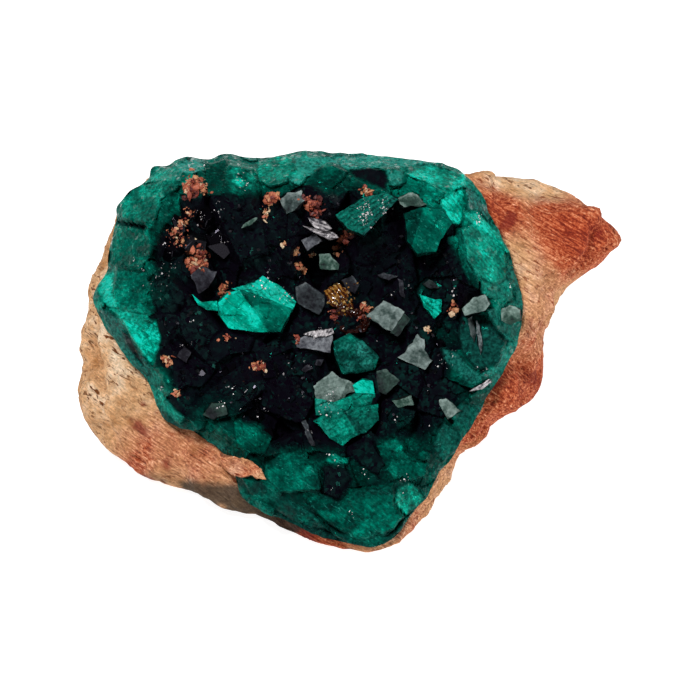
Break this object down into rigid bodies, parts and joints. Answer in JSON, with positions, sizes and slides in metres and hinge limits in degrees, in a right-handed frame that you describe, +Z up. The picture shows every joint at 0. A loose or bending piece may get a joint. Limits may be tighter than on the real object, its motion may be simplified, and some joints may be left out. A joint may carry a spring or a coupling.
{
  "type": "dioptase specimen",
  "caption": "Hand specimen of rusty limestone whose leaning front face carries a hollow crust of emerald-green dioptase crystals; it stands on its flat base for display.",
  "frame": {"origin": "centre of the bounding box, on the table under the specimen", "axes": "+Z up, +X to the right along the specimen's longest side, +Y away from whoever looks at the crystal face"},
  "size_m": [0.0434, 0.0322, 0.0207],
  "materials": {
    "limestone": "rough broken stone, stained with rust",
    "dioptase": "clear deep green crystal with glassy flat faces"
  },
  "bodies": {
    "root": {"matrix": "limestone", "dioptase_crust": "dioptase"}
  },
  "joints": []
}
